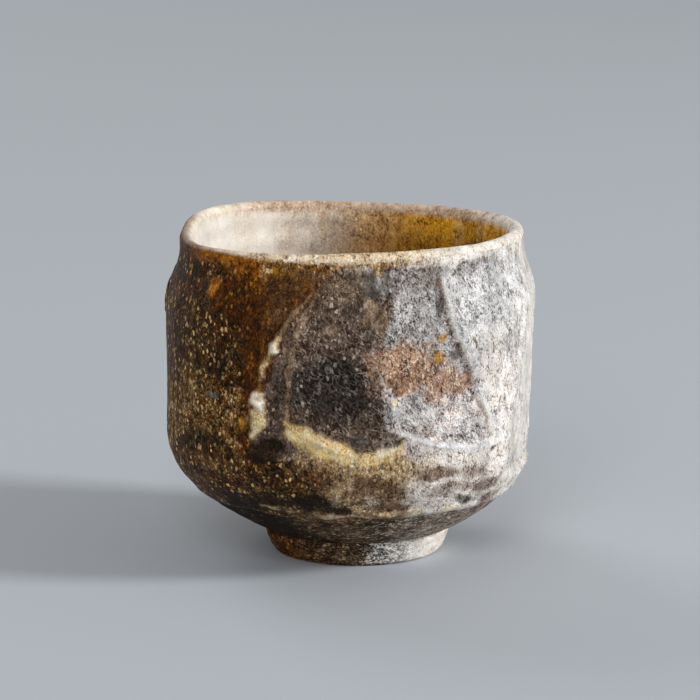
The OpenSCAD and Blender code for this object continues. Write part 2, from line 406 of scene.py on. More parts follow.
# Patches on the outside: coat, strength, bearing, height, half sizes across and up, and the tilt of some
PATCHES = [
    ("sandy", 0.9, -50, 31, 15, 9),
    ("sandy", 0.5, -75, 44, 6, 8),
    ("sandy", 0.8, -92, 50, 6, 3.5),
    ("sandy", 0.8, 248, 33, 13, 9, 10),
    ("umber", 0.9, -34, 54, 5, 4),
    ("umber", 0.6, -60, 54, 9, 3),
    ("taupe", 0.9, -16, 55, 5, 3.6),
    ("rust", 0.4, -18, 50.5, 2, 1.6, 40),
    ("charcoal", 1, -4.5, 38, 8.4, 6.4, 10),
    ("charcoal", 0.5, 1, 33, 6, 3.6, -10),
    ("charcoal", 0.4, 11, 33, 2.3, 2.6, 20),
    ("bark", 0.8, -5, 48, 6.5, 3.5),
    ("slate", 0.95, 8, 56.2, 3.6, 2.8),
    ("slate", 0.35, 2.5, 51.5, 3, 1.8),
    ("slate", 0.8, 4, 27.8, 3.2, 1.2),
    ("tan", 0.45, 9.5, 49.6, 3, 2.4),
    ("tan", 0.35, 1, 55.5, 4, 2.6),
    ("tan", 0.8, 7.5, 52, 1.3, 1.6, 25),
    ("tan", 0.5, -5, 48.6, 1.5, 1),
    # Painted shade beside the second ridge
    ("crease_shade", 0.4, -19, 37.5, 0.9, 5, 5),
    ("belly_dark", 1, -22.8, 26, 3.6, 2.4, 10),
    ("belly_dark", 0.6, -46, 26, 6, 2.2, 10),
    ("belly_dark", 0.5, -38.5, 41.5, 3, 2.5),
    # Silver patches carry a painted sheen of the light
    ("silver_sheen", 0.5, 18.5, 56.4, 5, 2.4),
    ("silver_sheen", 0.95, 22.5, 51, 4, 3.2),
    # Painted shade in a crease
    ("crease_shade", 0.8, 29.8, 52.4, 0.9, 4),
    ("rust", 1, 19.5, 40.5, 7.5, 5.5),
    ("rust", 0.9, 11, 42.2, 3.2, 2.8),
    ("rust", 0.9, 32, 37, 6.5, 4.5),
    ("frost", 0.95, 31, 30.6, 10, 3.5, 8),
    ("frost", 0.9, 22, 26.2, 4.2, 1.8),
    ("belly_brown", 0.5, 16.5, 38, 3, 2.2),
    # Painted shade beside the right ridge
    ("crease_shade", 0.7, 35.8, 43, 1.2, 1.2),
    ("honey", 0.9, 30.8, 45.9, 1.2, 0.9),
    ("honey", 0.9, 30, 42.6, 1.0, 1.4),
    ("slate", 0.6, 30.6, 57, 2.6, 2.4),
    ("slate", 0.65, 46, 57.3, 6, 1.8),
    # Painted sheen of the light on the upper right faces
    ("sheen_mist", 0.8, 37.5, 49, 2.4, 4, 20),
    ("sheen_mist", 0.8, 52, 53, 12, 5),
    ("beige", 0.7, 56, 38, 7, 8),
    # Painted sheen on the right face
    ("silver_sheen", 0.45, 59.5, 42, 3, 4),
    ("umber", 0.6, -9, 21.4, 5, 2.2, 20),
    ("belly_brown", 0.85, 8.5, 19, 7.5, 3.2, -6),
    ("belly_brown", 0.7, 14, 15, 3, 1),
    ("belly_brown", 0.85, 28.5, 21, 4.8, 1.4),
    ("belly_brown", 0.5, 33, 17.5, 6, 1.3),
    ("belly_brown", 0.6, 49, 17.5, 4, 1.4),
    ("beige", 0.7, 22, 18.6, 2.2, 1.8),
    ("beige", 0.9, 44, 22.8, 5, 1.8),
    ("belly_brown", 0.8, 172, 18, 9, 3),
    ("belly_dark", 0.95, -14, 16.7, 4.6, 1.5, -4),
    ("belly_dark", 0.9, -4, 14.4, 2.6, 1.1),
    ("belly_dark", 0.75, -26, 15.4, 15, 2.2),
    ("belly_dark", 0.7, 40, 15, 3.2, 0.8, -18),
    ("belly_dark", 0.8, 225, 16, 10, 2),
    ("honey", 0.9, -29.4, 30.9, 0.8, 1.4),
    ("blue", 0.5, -39, 35.5, 1.6, 0.9, -15),
    ("white", 0.9, 63, 26, 3.5, 4),
    ("white", 0.8, 84, 34, 6, 14),
    ("charcoal", 0.95, 184, 41, 9, 9),
    ("slate", 0.9, 196, 31, 6, 4),
    ("charcoal", 0.85, 222, 38, 7, 8),
    # Painted sheen at the back
    ("sheen_mist", 0.5, 172, 51, 9, 4),
    ("rust", 0.8, 150, 38, 9, 9),
    ("frost", 0.6, 136, 29, 9, 3.5),
    ("honey", 0.9, 160, 48, 1.4, 1.2),
    ("amber", 0.7, 236, 54, 6, 3),
]

# Lines where cut faces end or meet, from the top down, and the ledges below them
LEFT_RIDGE = [
    (-10, 55), (-14, 52), (-17.4, 48.8), (-20.4, 45.5), (-22.6, 42.5),
    (-24.2, 39), (-25, 36), (-25.6, 33), (-26.8, 29.6), (-27.6, 26),
]
SECOND_RIDGE = [
    (-8, 55), (-11.6, 51.5), (-13.6, 47.7), (-15.2, 43.9),
    (-16.2, 40), (-16.8, 36), (-17.2, 32),
]
MIDDLE_RIDGE = [(9.6, 49), (8, 43.4), (11, 38.3), (13.8, 34.6)]
RIGHT_RIDGE = [
    (32.4, 56), (32.2, 52), (33.8, 48.4), (37, 44), (40, 39.8),
    (42.8, 36), (45.2, 33), (47.6, 29.8), (49.4, 26.8),
]
FRONT_LEDGE = [
    (-17.2, 31), (-13.5, 29.9), (-10.2, 28.6), (-5.2, 27.2), (-1.2, 26),
    (2.2, 25.5), (7.5, 25), (13, 25.4), (17.6, 27.2),
]
RIGHT_LEDGE = [(17.8, 28.8), (26.5, 27), (34.8, 25.8), (46, 25.4)]
BACK_RIDGE = [(208, 51), (204, 42), (204, 36), (209, 27)]
FRONT_GLAZE_LINE = [(-30, 14.6), (-14, 14), (-2, 13.4), (12, 13.4), (26, 13.4), (44, 13.8)]
BACK_GLAZE_LINE = [(130, 14.4), (160, 13.8), (190, 14.4), (220, 13.8), (250, 14.2)]
RIGHT_RUN = [(82, 45), (81, 37), (79, 29.3), (72, 24.7), (64, 21.9), (60, 18)]


def beside(line, turn, rise=0):
    """A line moved by a turn in degrees and a rise in millimetres."""
    return [(bearing + turn, height + rise) for bearing, height in line]


# A stroke of a coat through places of bearing and height, with its half width and rise in millimetres
Stroke = namedtuple("Stroke", "coat half_width strength rise grainy places")

STROKES = [
    # Umber beside the left ridge is the glaze's brown darkened as a painted shadow on the side turned from
    # the light
    Stroke("umber", 1.1, 0.7, 0, 0.3, beside(LEFT_RIDGE, -1.8)),
    Stroke("ridge", 0.5, 0.9, 0.16, 0.6, LEFT_RIDGE),
    # Tan along the ridge's top is a painted highlight where the edge catches the light
    Stroke("tan", 0.34, 1, 0.2, 0.25, LEFT_RIDGE[:4]),
    Stroke("cream", 0.3, 0.8, 0.1, 0.6, [(-18.8, 47), (-20.4, 45.4), (-22.4, 42.6), (-24, 39)]),
    Stroke("cream", 0.3, 0.7, 0.1, 0.7, [(-25, 36.6), (-25.6, 33), (-26.8, 29.6)]),
    Stroke("tan", 0.34, 0.9, 0.16, 0.5, SECOND_RIDGE),
    # Painted shade along a groove
    Stroke("crease_shade", 0.25, 0.7, -0.1, 0.2, [(13.5, 58.5), (13.8, 54.3), (10.5, 51.3), (8.2, 49.5)]),
    # Along the charcoal face's right border, frost and white are ash with painted glints of the light
    Stroke("frost", 0.25, 0.5, 0.12, 0.5, MIDDLE_RIDGE),
    Stroke("ash_white", 0.3, 1, 0.2, 0.3, [(13.4, 37), (14.8, 34.4), (15.8, 31.8), (17.8, 28.8)]),
    # At the right ridge: taupe on its left is a painted shadow, mist on its right a painted sheen, and white
    # along it ash with a painted highlight
    Stroke("taupe", 0.3, 0.7, -0.08, 0.3, beside(RIGHT_RIDGE, -1.6)),
    Stroke("sheen_mist", 0.9, 0.7, 0, 0.3, beside(RIGHT_RIDGE, 1.3)),
    Stroke("white", 0.34, 1, 0.28, 0.1, RIGHT_RIDGE),
    Stroke("belly", 1.6, 0.65, 0, 0.2, [(-12, 25.2), (-5, 24), (5, 23.2), (18, 24)]),
    Stroke("yellow", 1.7, 1, 0.15, 0.1, [(-15.8, 29.6), (-10.2, 27.4), (-5.2, 26), (0, 25)]),
    Stroke("yellow", 0.9, 0.9, 0.1, 0.3, [(0, 25), (7.5, 24.4), (13, 24.9), (17.4, 26.2)]),
    Stroke("cream", 0.6, 0.9, 0.25, 0.3, FRONT_LEDGE),
    Stroke("drop", 0.8, 0.7, 0.1, 0.4, [(11, 25.4), (14.6, 26), (17.6, 27.4)]),
    # A painted shadow along the gap above the right ledge
    Stroke("bark", 0.4, 0.35, -0.06, 0.3, beside(RIGHT_LEDGE, 0, 1.3)),
    Stroke("ash_white", 0.55, 1, 0.28, 0.4, RIGHT_LEDGE),
    Stroke("white", 1.4, 0.9, 0, 0.2, RIGHT_RUN),
    # Painted shade in a crack
    Stroke("crease_shade", 0.2, 0.9, -0.4, 0, [(49, 24.2), (51, 24.4), (53, 24.9)]),
    Stroke("cream", 0.45, 0.8, 0.12, 0.8, FRONT_GLAZE_LINE),
    Stroke("umber", 1.4, 0.7, 0, 0.3, BACK_RIDGE),
    Stroke("ridge", 0.5, 0.9, 0.14, 0.6, BACK_RIDGE),
    Stroke("yellow", 1.3, 0.8, 0.2, 0.5, [(165, 28.6), (176, 26.6), (188, 25), (200, 25)]),
    Stroke("white", 0.35, 0.8, 0.15, 0.4, [(120, 52), (117, 42), (119, 32), (124, 22)]),
    Stroke("ridge", 0.4, 0.8, 0.12, 0.6, [(163, 52), (162, 42), (164, 30), (160, 22)]),
    Stroke("ridge", 0.4, 0.7, 0.12, 0.6, [(245, 48), (246, 38), (243, 27)]),
    Stroke("cream", 0.7, 0.6, 0.1, 0.6, [(124, 19.6), (136, 19), (150, 20)]),
    Stroke("yellow", 0.9, 0.7, 0.1, 0.6, [(212, 19.8), (226, 20), (240, 21.4)]),
    Stroke("cream", 0.4, 0.7, 0.12, 0.8, BACK_GLAZE_LINE),
]

# Beads of melted ash: coat, how far they stand out, bearing, height, and half sizes across and up
BEADS = [
    ("cream", 0.35, -25.7, 32.2, 1.7, 2.8),
    ("drop", 0.5, -25, 34.7, 1.5, 1.9),
    ("drop", 0.45, -20.4, 45.2, 0.9, 1.2),
    ("amber", 0.2, -41.2, 54.9, 1.1, 1.8),
    ("cream", 0.2, 15, 34.6, 0.5, 0.7),
    ("cream", 0.4, 204.6, 37, 1.1, 2.4),
    ("cream", 0.4, 118, 25, 1.2, 2),
]

# Lumps of clay under the glaze: how far they stand out, bearing, height, and half sizes across and up
LUMPS = [
    (0.45, -90, 50, 7, 3.6),
    (0.2, -25, 28, 1.6, 1.8),
    (0.2, -40, 54, 5, 4),
    (0.3, 150, 30, 5, 6),
    (0.3, 246, 41, 4, 5),
]

# Runs of amber and cream below the lip: coat, bearing, half width and length in millimetres
LIP_RUNS = [
    ("umber", -54, 12, 3.4),
    ("amber", -29.5, 4.6, 3.4),
    ("amber", -78, 6, 2.4),
    ("honey", -22, 2.4, 2.8),
    ("lip_mottle", -24.4, 1.1, 5.2),
    ("lip_mottle", -36, 1.3, 2),
    ("lip_mottle", -18, 2.2, 2.6),
    ("lip_mottle", -6, 5, 2.4),
    ("lip_front", 3, 5, 2.6),
    ("lip_white", 6.5, 3, 2.6),
    ("lip_mottle", 11.5, 2.4, 2.6),
    ("lip_white", 26, 7, 2),
    ("lip_white", 75, 14, 2.2),
    ("amber", 215, 12, 3.4),
    ("lip_mottle", 205, 1.5, 4.4),
    ("lip_mottle", 150, 8, 2.4),
    ("amber", 250, 8, 2.8),
]

# Coats round the lip, the inside and the bare clay
LIP_ROUND = [
    (-90, "lip_cream"), (-50, "lip_cream"), (-14, "lip_front"), (16, "lip_front"),
    (40, "lip_white"), (100, "lip_white"), (140, "lip_pink"), (200, "lip_pink"),
    (235, "lip_cream"),
]
UNDER_LIP_ROUND = [
    (-110, "amber"), (-62, "umber"), (-32, "amber"), (-20, "lip_mottle"), (14, "lip_mottle"),
    (36, "lip_white"), (100, "lip_white"), (150, "lip_mottle"), (215, "amber"),
]
INSIDE_ROUND = [
    (-110, "inside_white"), (-60, "inside_white"), (-10, "inside_taupe"),
    (80, "inside_mustard"), (144, "inside_mustard"), (166, "inside_taupe"),
    (192, "inside_grey"), (214, "inside_white"),
]
FOOT_ROUND = [
    (-60, "clay_orange"), (-10, "clay_brown"), (10, "clay_black"), (60, "clay_pink"),
    (120, "clay_brown"), (180, "clay_black"), (240, "clay_brown"),
]
# The dark coat on the left of the underside is a painted shadow under the belly
UNDERSIDE_ROUND = [
    (-60, "belly_dark"), (-24, "belly_dark"), (-8, "clay_brown"), (12, "clay_dark"),
    (36, "clay_grey"), (70, "clay_grey"), (110, "clay_brown"), (180, "clay_dark"),
    (240, "clay_brown"),
]


def lay(base, name, mask):
    """A coat laid over others by a mask from 0 to 1."""
    return base + (COATS[name] - base) * clamp01(mask)[..., None]


def mix(first, second, share):
    """Coats mixed with others, by the others' share from 0 to 1."""
    return first + (second - first) * share[..., None]


def coats_round(b, stops, points, seed):
    """Coats at stops round the cup, blended with an uneven border."""
    first, first_name = stops[0]
    uneven = BORDER_SWING * cloud(points, cell=9, seed=seed)
    bearing = (np.degrees(b) + uneven - first) % 360 + first
    total = np.zeros(np.shape(b) + (COAT_SIZE,))
    closed = stops + [(first + 360, first_name)]
    for (start, name), (end, following) in zip(closed, closed[1:]):
        here = ((bearing >= start) & (bearing < end))[..., None]
        share = smooth((bearing - start) / (end - start))
        total = np.where(here, mix(COATS[name], COATS[following], share), total)
    return total


def near_bearing(b, bearing, inner, outer):
    """1 within inner degrees of a bearing, falling to 0 at outer degrees."""
    away = np.degrees(np.abs(off_bearing(b, bearing)))
    return smooth((outer - away) / (outer - inner))


def blotches(points, cell, seed, gain, start):
    """Blotches from 0 to 1, where noise times a gain is past a start."""
    return smooth(gain * cloud(points, cell, seed) - start)


def broken_edge(points):
    """Unevenness for the edges of patches."""
    coarse = cloud(points, cell=6, seed=62)
    medium = noise(points, cell=1.6, seed=66)
    fine = noise(points, cell=0.8, seed=69)
    return 0.3 * coarse + 0.25 * medium + 0.25 * fine


def wander(b, z, points, reach):
    """Bearings and heights moved about by a reach in millimetres, so that no edge runs true."""
    cell = 4.3 * reach
    sideways = reach * cloud(points, cell, seed=75, octaves=4)
    upward = reach * cloud(points, cell, seed=78, octaves=4)
    return b + sideways / BELLY_R, z + upward


def strokes_at(b, z, points):
    """How much of each stroke shows at places on the wall."""
    near_b, near_z = wander(b, z, points, STROKE_WANDER)
    ragged = 0.6 * noise(points, cell=3, seed=64) + 0.33 * noise(points, cell=1, seed=65)
    wide_gaps = smooth(0.3 - 1.1 * noise(points, cell=3.6, seed=68))
    small_gaps = smooth(0.5 + 1.3 * noise(points, cell=1.1, seed=71))
    gaps = np.maximum(wide_gaps, small_gaps)
    masks = []
    for stroke in STROKES:
        away = stroke_gap(near_b, near_z, stroke.places)
        reach = 1 + ragged / np.sqrt(stroke.half_width) - away / stroke.half_width
        masks.append(smooth(reach / 0.9 + 0.4) * (1 - stroke.grainy * gaps))
    return masks


def bead_mask(b, z, points, spot):
    """1 on a bead with an uneven edge, and 0 beyond it."""
    uneven = 0.9 * cloud(points, cell=2.2, seed=7)
    return smooth((1.2 + uneven - spot_gap(b, z, *spot)) / 0.8)


def lip_coats(b, z, points):
    """Coats of the lip: pale over its top, with an amber outer side at the left."""
    under = coats_round(b, UNDER_LIP_ROUND, points, seed=83)
    over = coats_round(b, LIP_ROUND, points, seed=81)
    edge = LIP_Z - LIP_EDGE_DROP + LEFT_LIP_RISE * near_bearing(b, -78, inner=27.5, outer=82.5)
    blend = 0.9 + 0.6 * cloud(points, cell=2.5, seed=51)
    return mix(under, over, smooth((z - edge) / blend + 0.5))


def paint_outside(b, z, points, stroke_masks):
    """Coats of the glazed outside: grounds, cut faces, patches, strokes, beads, runs and the lip's edge."""
    broken = broken_edge(points)
    upper = coats_round(b, UPPER_ROUND, points, seed=61)
    lower = coats_round(b, LOWER_ROUND, points, seed=63)
    lower = lay(lower, "belly_brown", 0.7 * blotches(points, cell=7, seed=67, gain=2.4, start=0.1))
    at_right = near_bearing(b, 60, inner=36, outer=96)
    lower = lay(lower, "beige", 0.5 * at_right * blotches(points, cell=4, seed=70, gain=2.4, start=0.2))
    total = mix(lower, upper, smooth((z - BELLY_TOP_Z + 3 * broken) / BELLY_BLEND_H))
    fields = cut_fields(*wander(b, z, points, FACE_WANDER))
    for k, (name, strength) in enumerate(FACE_COATS):
        beyond = np.delete(fields, k, axis=0).max(axis=0)
        own = smooth(fields[k] / 0.3) * smooth((fields[k] - beyond) / 0.5 + 0.5)
        total = lay(total, name, own * strength * smooth(1.1 + 1.2 * broken))
    near_b, near_z = wander(b, z, points, PATCH_WANDER)
    for name, strength, *spot in PATCHES:
        away = spot_gap(near_b, near_z, *spot)
        total = lay(total, name, strength * smooth((1.2 + broken - away) / 0.6))
    for stroke, mask in zip(STROKES, stroke_masks):
        total = lay(total, stroke.coat, mask * stroke.strength)
    for name, _, *spot in BEADS:
        total = lay(total, name, 1.5 * bead_mask(b, z, points, spot))
    for name, bearing, across, length in LIP_RUNS:
        away = spot_gap(near_b, z, bearing, LIP_Z, across, length)
        total = lay(total, name, 0.85 * smooth((1.1 + broken - away) / 0.7))
    lip_edge = LIP_Z - LIP_COAT_DROP - 0.9 * cloud(points, cell=3, seed=53)
    return mix(total, lip_coats(b, z, points), smooth((z - lip_edge) / 0.8))


def paint_inside(b, z, points, over_lip):
    """Coats of the lining and the lip, where over_lip is 0 on the lip's outer side and 1 inside it."""
    loose_b, loose_z = wander(b, z, points, INSIDE_WANDER)
    streaks = place(loose_b, MOUTH_R, STREAK_SQUEEZE * loose_z)
    inside = coats_round(loose_b, INSIDE_ROUND, streaks, seed=91)
    at_back = near_bearing(b, 165, inner=21, outer=91)
    inside = lay(inside, "inside_taupe", 0.6 * at_back * blotches(streaks, cell=5, seed=95, gain=2, start=0))
    at_right = near_bearing(b, 135, inner=18, outer=78)
    stains = blotches(streaks, cell=3, seed=99, gain=2.4, start=0.1)
    inside = lay(inside, "inside_brown", 0.6 * at_right * stains)
    # Brown deepening down from the lip at the right and back inside: a painted shade
    depth = smooth((LIP_Z - 0.5 - z) / INSIDE_SHADE_H)
    inside = lay(inside, "inside_brown", 0.7 * at_right * depth)
    pool = smooth((POOL_TOP_Z - z + 7 * cloud(points, cell=9, seed=97)) / POOL_BLEND_H)
    inside = lay(inside, "inside_pool", 0.9 * pool)
    outer_side = over_lip < 0.5
    lip = lip_coats(b, np.where(outer_side, z, 2 * CUP_H - z), points)
    lip_end = smooth((z - LIP_Z) / (1 + 0.7 * cloud(points, cell=3, seed=55)) + 1)
    return mix(inside, lip, np.where(outer_side, 1, lip_end))


def paint_clay(b, points, stops):
    """Coats of bare clay with dark blotches."""
    total = coats_round(b, stops, points, seed=101)
    return lay(total, "clay_dark", 0.6 * blotches(points, cell=6, seed=105, gain=2.2, start=0.3))


# Relief of the glaze, with its heights in millimetres

SWELL = 0.16
DIMPLES = 0.07
RIM_RIDGE = 0.22
BORDER_RIDGE = 0.1
CRINKLE = 0.15
FINE_GRAIN = 0.03


def ridge_masks(b, z):
    """How near a place is to the rim of the cut faces, and to a border between two of them."""
    fields = np.sort(cut_fields(b, z), axis=0)
    deepest = fields[-1]
    cut_here = smooth((z - 14) / 6) * smooth((CUT_TOP_Z + 1 - z) / 5)
    rim = np.exp(-((deepest - 0.06) / 0.2) ** 2) * cut_here
    border = np.exp(-((deepest - fields[-2]) / 0.16) ** 2) * smooth((deepest - 0.15) / 0.4)
    return rim, border


def outside_relief(b, z, points, stroke_masks, crinkle):
    """How far the glaze stands out from the form, in millimetres."""
    rim, border = ridge_masks(b, z)
    along = 0.55 + 0.45 * noise(points, cell=4.5, seed=11)
    out = SWELL * cloud(points, cell=11, seed=1) + DIMPLES * cloud(points, cell=3.2, seed=2)
    out = out + (RIM_RIDGE * rim + BORDER_RIDGE * border) * along
    for stand, *spot in LUMPS + [bead[1:] for bead in BEADS]:
        out = out + stand * bead_mask(b, z, points, spot)
    for stroke, mask in zip(STROKES, stroke_masks):
        out = out + stroke.rise * mask
    threads = np.exp(-(noise(slant(points), cell=1.5, seed=21) / 0.2) ** 2)
    out = out + CRINKLE * crinkle * (threads - 0.3)
    return out + FINE_GRAIN * noise(points, cell=0.9, seed=23)


def level_ring(b, radius):
    """Points on a level ring round the cup's axis."""
    return np.stack([radius * np.sin(b), -radius * np.cos(b), 0 * b], -1)


def glaze_edge_z(b):
    """Height of the wavy lower edge of the ash glaze."""
    wave = cloud(level_ring(b, GLAZE_EDGE_R), cell=9, seed=31)
    return GLAZE_LINE_Z + GLAZE_EDGE_RISE + GLAZE_EDGE_WAVE * wave


def lip_bump(b):
    """How far the hand-made lip stands out, in millimetres."""
    on_lip = level_ring(b, MOUTH_R)
    return LIP_WAVE * cloud(on_lip, cell=9, seed=41) + LIP_RIPPLE * noise(on_lip, cell=2.4, seed=44)


# Meshes

def ring_normals(rings):
    """Outward normals of a stack of rings that run the way a solid's skin does."""
    round_way = np.roll(rings, -1, axis=1) - np.roll(rings, 1, axis=1)
    up_way = np.gradient(rings, axis=0)
    n = np.cross(round_way, up_way)
    return n / np.maximum(np.linalg.norm(n, axis=-1, keepdims=True), 1e-9)


def add_values(mesh, name, kind, field, values):
    """One value for each point of a mesh."""
    mesh.attributes.new(name, kind, "POINT").data.foreach_set(field, values.astype(np.float32).ravel())


def build_skin(name, rings, coats, normals=None, first_tip=None, last_tip=None, looped=False):
    """A closed mesh from rings in millimetres, with a tip at each end, or looped from last ring to first."""
    count, sectors = rings.shape[:2]
    points = [rings.reshape(-1, 3)]
    values = [coats.reshape(-1, COAT_SIZE)]
    index = np.arange(count * sectors).reshape(count, sectors)
    low = index if looped else index[:-1]
    high = np.roll(index, -1, axis=0) if looped else index[1:]
    quads = np.stack([low, np.roll(low, -1, axis=1), np.roll(high, -1, axis=1), high], -1).reshape(-1, 4)
    faces = quads.tolist()
    step_u = 1 / sectors
    step_v = 1 / len(low)
    u, v = np.meshgrid(np.arange(sectors) * step_u, np.arange(len(low)) * step_v)
    corners = [(u, v), (u + step_u, v), (u + step_u, v + step_v), (u, v + step_v)]
    uv = [np.stack([np.stack(corner, -1) for corner in corners], -2).reshape(-1, 2)]
    for tip, ring, backwards in ((first_tip, index[0], True), (last_tip, index[-1], False)):
        if tip is None:
            continue
        points.append(np.array([tip]))
        values.append(coats[0 if backwards else -1].mean(axis=0)[None])
        centre = np.full(sectors, sum(len(p) for p in points) - 1)
        following = np.roll(ring, -1)
        fan = [following, ring, centre] if backwards else [ring, following, centre]
        faces += np.stack(fan, -1).tolist()
        edge = np.full(sectors, 0.0 if backwards else 1.0)
        ends = [u[0] + step_u, u[0]] if backwards else [u[0], u[0] + step_u]
        ends.append(u[0] + step_u / 2)
        uv.append(np.stack([np.stack([at, edge], -1) for at in ends], -2).reshape(-1, 2))
    points = np.concatenate(points)
    values = np.concatenate(values)
    opaque = np.ones((len(values), 1))
    mesh = bpy.data.meshes.new(name)
    mesh.from_pydata((points * MM).tolist(), [], faces)
    mesh.polygons.foreach_set("use_smooth", np.ones(len(faces), bool))
    for k, colour in enumerate(("dark", "middle", "light")):
        rgba = np.concatenate([values[:, 3 * k:3 * k + 3], opaque], 1)
        add_values(mesh, colour, "FLOAT_COLOR", "color", rgba)
    add_values(mesh, "coat", "FLOAT_VECTOR", "vector", values[:, COVER_AT:])
    uv = np.concatenate(uv).astype(np.float32).ravel()
    mesh.uv_layers.new(name="OFBake").uv.foreach_set("vector", uv)
    if normals is not None:
        mesh.normals_split_custom_set_from_vertices(normals.reshape(-1, 3).tolist())
    mesh.update()
    piece = bpy.data.objects.new(name, mesh)
    bpy.context.scene.collection.objects.link(piece)
    return piece


# Materials

def add_node(tree, kind, values=None, **settings):
    """A node with its settings and its unlinked inputs."""
    node = tree.nodes.new(kind)
    for key, value in settings.items():
        setattr(node, key, value)
    for key, value in (values or {}).items():
        node.inputs[key].default_value = value
    return node


def calc(tree, operation, first, second=0.0):
    """A Math node on sockets or numbers."""
    node = add_node(tree, "ShaderNodeMath", operation=operation)
    for socket, value in zip(node.inputs, (first, second)):
        if isinstance(value, bpy.types.NodeSocket):
            tree.links.new(value, socket)
        else:
            socket.default_value = value
    return node.outputs[0]


def ramp(tree, value, low, high, to_low=0.0, to_high=1.0):
    """A socket's value from low to high, eased to another range."""
    ends = {"From Min": low, "From Max": high, "To Min": to_low, "To Max": to_high}
    node = add_node(tree, "ShaderNodeMapRange", ends, interpolation_type="SMOOTHSTEP")
    tree.links.new(value, node.inputs["Value"])
    return node.outputs["Result"]


# Noise level where grains begin, size of the dots' cells in grains, and the glassy shine of all pieces
GRAIN_LEVEL = 1.4
DOT_CELL = 2.2
SPECULAR_LEVEL = 0.16
SPECULAR_TINT = (1, 0.82, 0.62, 1)


